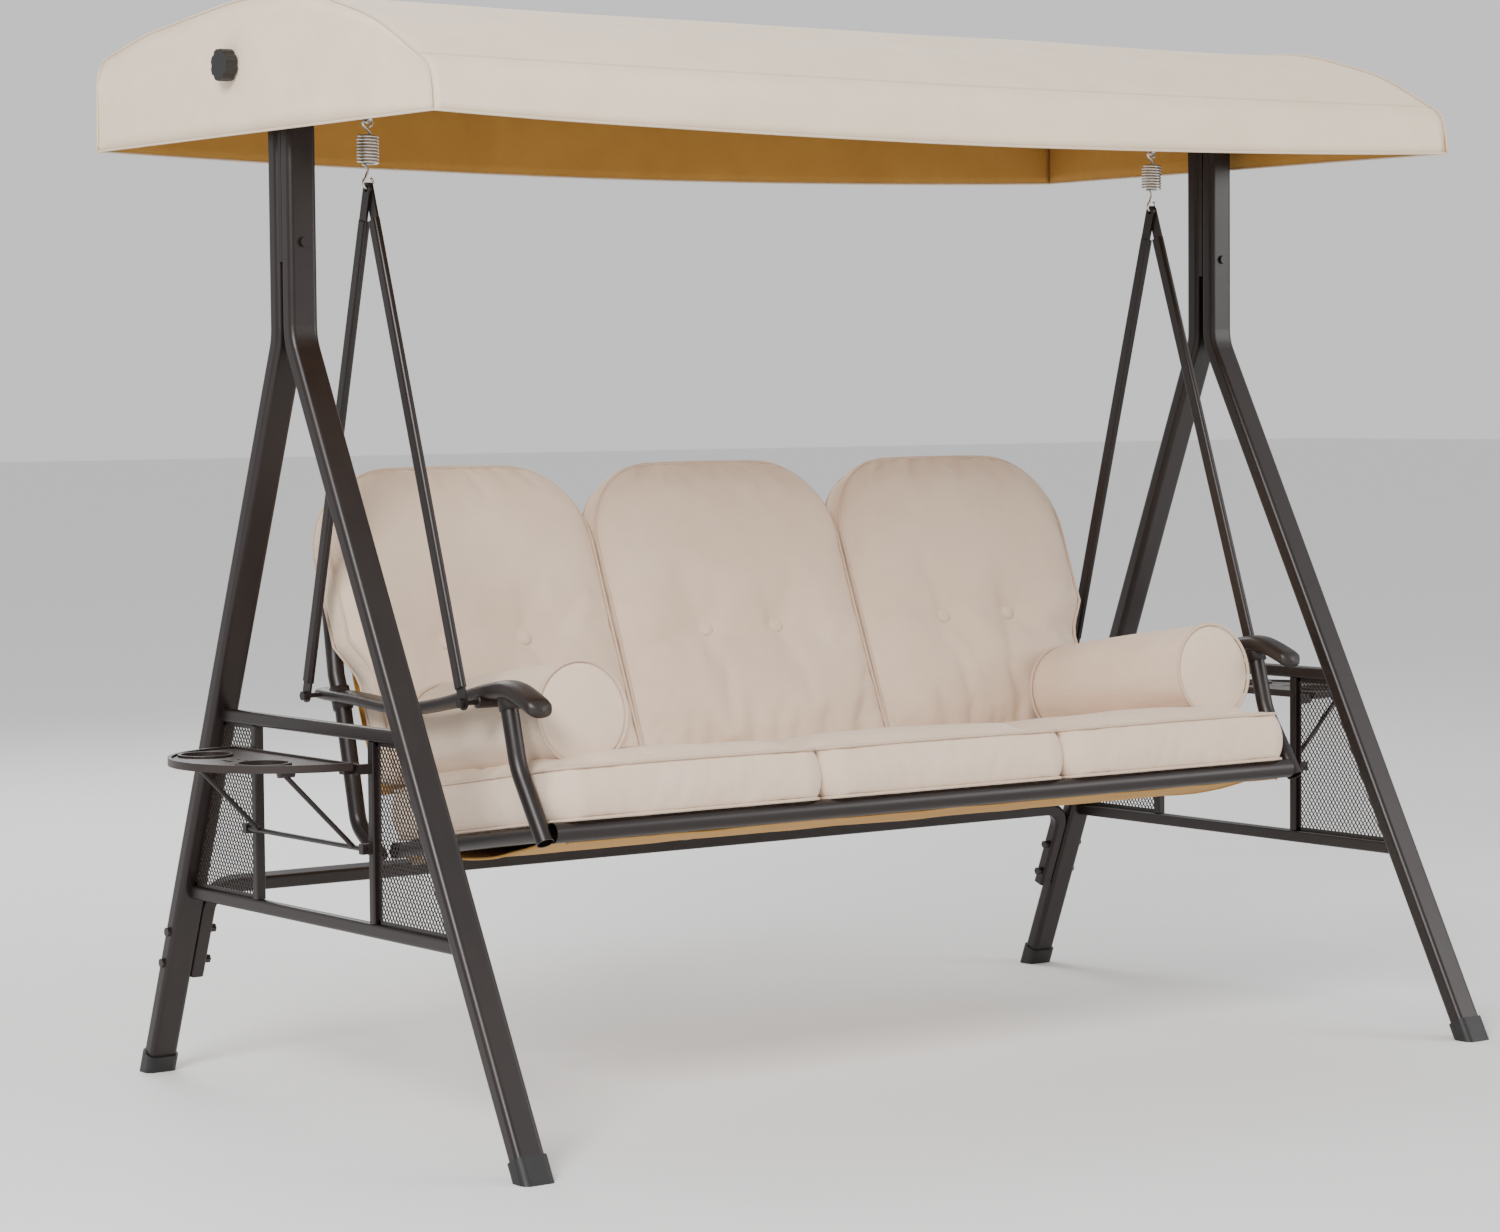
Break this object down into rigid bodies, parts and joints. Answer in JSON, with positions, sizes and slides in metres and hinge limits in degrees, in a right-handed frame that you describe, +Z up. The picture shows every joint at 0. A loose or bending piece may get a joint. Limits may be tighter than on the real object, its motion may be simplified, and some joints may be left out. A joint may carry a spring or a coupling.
{
  "type": "canopy swing bench",
  "caption": "Garden swing bench hung on springs from a bronze A-frame stand, with tilting fabric canopy, box cushions, bolsters and fold-down side trays",
  "frame": {"origin": "on the floor under the middle of the overall box", "axes": "+X to the sitter's left, the object's right as seen from the front; -Y front; +Z up"},
  "size_m": [2.398, 1.2061, 1.7391],
  "materials": {
    "bronze_paint": "satin dark bronze powder coat",
    "foot_plastic": "matte black",
    "mesh_steel": "satin dark bronze powder coat on expanded steel",
    "zinc_hardware": "zinc plated",
    "dark_hardware": "blackened steel",
    "arm_plastic": "satin moulded",
    "tray_plastic": "satin moulded",
    "knob_plastic": "satin moulded black-brown",
    "brace_steel": "satin black-brown",
    "sling_fabric": "coated golden-brown cloth",
    "canopy_fabric": "plain woven beige cloth, golden-brown lining",
    "cushion_fabric": "plain woven warm beige cloth",
    "strap_webbing": "flat woven webbing"
  },
  "bodies": {
    "frame": {"foot_caps": "foot_plastic", "top_beam": "bronze_paint", "beam_eyes": "zinc_hardware", "canopy_studs": "zinc_hardware", "rear_crossbeam": "bronze_paint", "frame_bolts": "dark_hardware", "left_front_leg": "bronze_paint", "left_rear_leg": "bronze_paint", "left_top_bracket": "bronze_paint", "left_side_rails": "bronze_paint", "left_side_bars": "bronze_paint", "left_mesh_panels": "mesh_steel", "left_tray_brackets": "bronze_paint", "right_front_leg": "bronze_paint", "right_rear_leg": "bronze_paint", "right_top_bracket": "bronze_paint", "right_side_rails": "bronze_paint", "right_side_bars": "bronze_paint", "right_mesh_panels": "mesh_steel", "right_tray_brackets": "bronze_paint"},
    "springs": {"left_spring": "zinc_hardware", "right_spring": "zinc_hardware"},
    "bench": {"hanger_bolts": "dark_hardware", "seat_front_rail": "bronze_paint", "seat_rear_rail": "bronze_paint", "back_top_rail": "bronze_paint", "seat_sling": "sling_fabric", "back_sling": "sling_fabric", "cushion_straps": "strap_webbing", "left_front_hanger": "bronze_paint", "left_rear_hanger": "bronze_paint", "left_armrest": "arm_plastic", "left_front_post": "bronze_paint", "left_back_upright": "bronze_paint", "left_seat_rail": "bronze_paint", "left_bolster": "cushion_fabric", "right_front_hanger": "bronze_paint", "right_rear_hanger": "bronze_paint", "right_armrest": "arm_plastic", "right_front_post": "bronze_paint", "right_back_upright": "bronze_paint", "right_seat_rail": "bronze_paint", "right_bolster": "cushion_fabric", "left_seat_cushion": "cushion_fabric", "left_back_cushion": "cushion_fabric", "centre_seat_cushion": "cushion_fabric", "centre_back_cushion": "cushion_fabric", "right_seat_cushion": "cushion_fabric", "right_back_cushion": "cushion_fabric"},
    "canopy": {"canopy_cover": "canopy_fabric", "canopy_cross_tubes": "bronze_paint", "left_canopy_arch": "bronze_paint", "right_canopy_arch": "bronze_paint"},
    "left_knob": {"left_knob": "knob_plastic"},
    "left_tray": {"left_tray": "tray_plastic"},
    "left_brace": {"left_tray_brace": "brace_steel"},
    "right_knob": {"right_knob": "knob_plastic"},
    "right_tray": {"right_tray": "tray_plastic"},
    "right_brace": {"right_tray_brace": "brace_steel"}
  },
  "joints": [
    {"name": "swing", "type": "hinge", "parent": "frame", "child": "springs", "pos_m": [0, 0.08, 1.566], "axis": [1, 0, 0], "range_deg": [-20, 20]},
    {"name": "bounce", "type": "slide", "parent": "springs", "child": "bench", "axis": [0, 0, 1], "range_m": [-0.025, 0], "stiffness_N_per_m": 60000, "springref_m": 0.012, "deforming": ["left_spring", "right_spring"]},
    {"name": "canopy_tilt", "type": "hinge", "parent": "frame", "child": "canopy", "pos_m": [0, 0.138, 1.64], "axis": [1, 0, 0], "range_deg": [-20, 20]},
    {"name": "left_knob_turn", "type": "hinge", "parent": "canopy", "child": "left_knob", "pos_m": [-1.045, 0.138, 1.64], "axis": [1, 0, 0], "continuous": true},
    {"name": "left_tray_fold", "type": "hinge", "parent": "frame", "child": "left_tray", "pos_m": [-0.992, 0.025, 0.563], "axis": [0, -1, 0], "range_deg": [0, 90]},
    {"name": "left_brace_fold", "type": "hinge", "parent": "frame", "child": "left_brace", "pos_m": [-0.985, 0.025, 0.442], "axis": [0, -1, 0], "range_deg": [0, 135]},
    {"name": "right_knob_turn", "type": "hinge", "parent": "canopy", "child": "right_knob", "pos_m": [1.045, 0.138, 1.64], "axis": [1, 0, 0], "continuous": true},
    {"name": "right_tray_fold", "type": "hinge", "parent": "frame", "child": "right_tray", "pos_m": [0.992, 0.025, 0.563], "axis": [0, 1, 0], "range_deg": [0, 90]},
    {"name": "right_brace_fold", "type": "hinge", "parent": "frame", "child": "right_brace", "pos_m": [0.985, 0.025, 0.442], "axis": [0, 1, 0], "range_deg": [0, 135]}
  ],
  "couplings": [
    {"joint": "left_brace_fold", "follows": "left_tray_fold", "ratio": 1.5},
    {"joint": "right_brace_fold", "follows": "right_tray_fold", "ratio": 1.5}
  ]
}
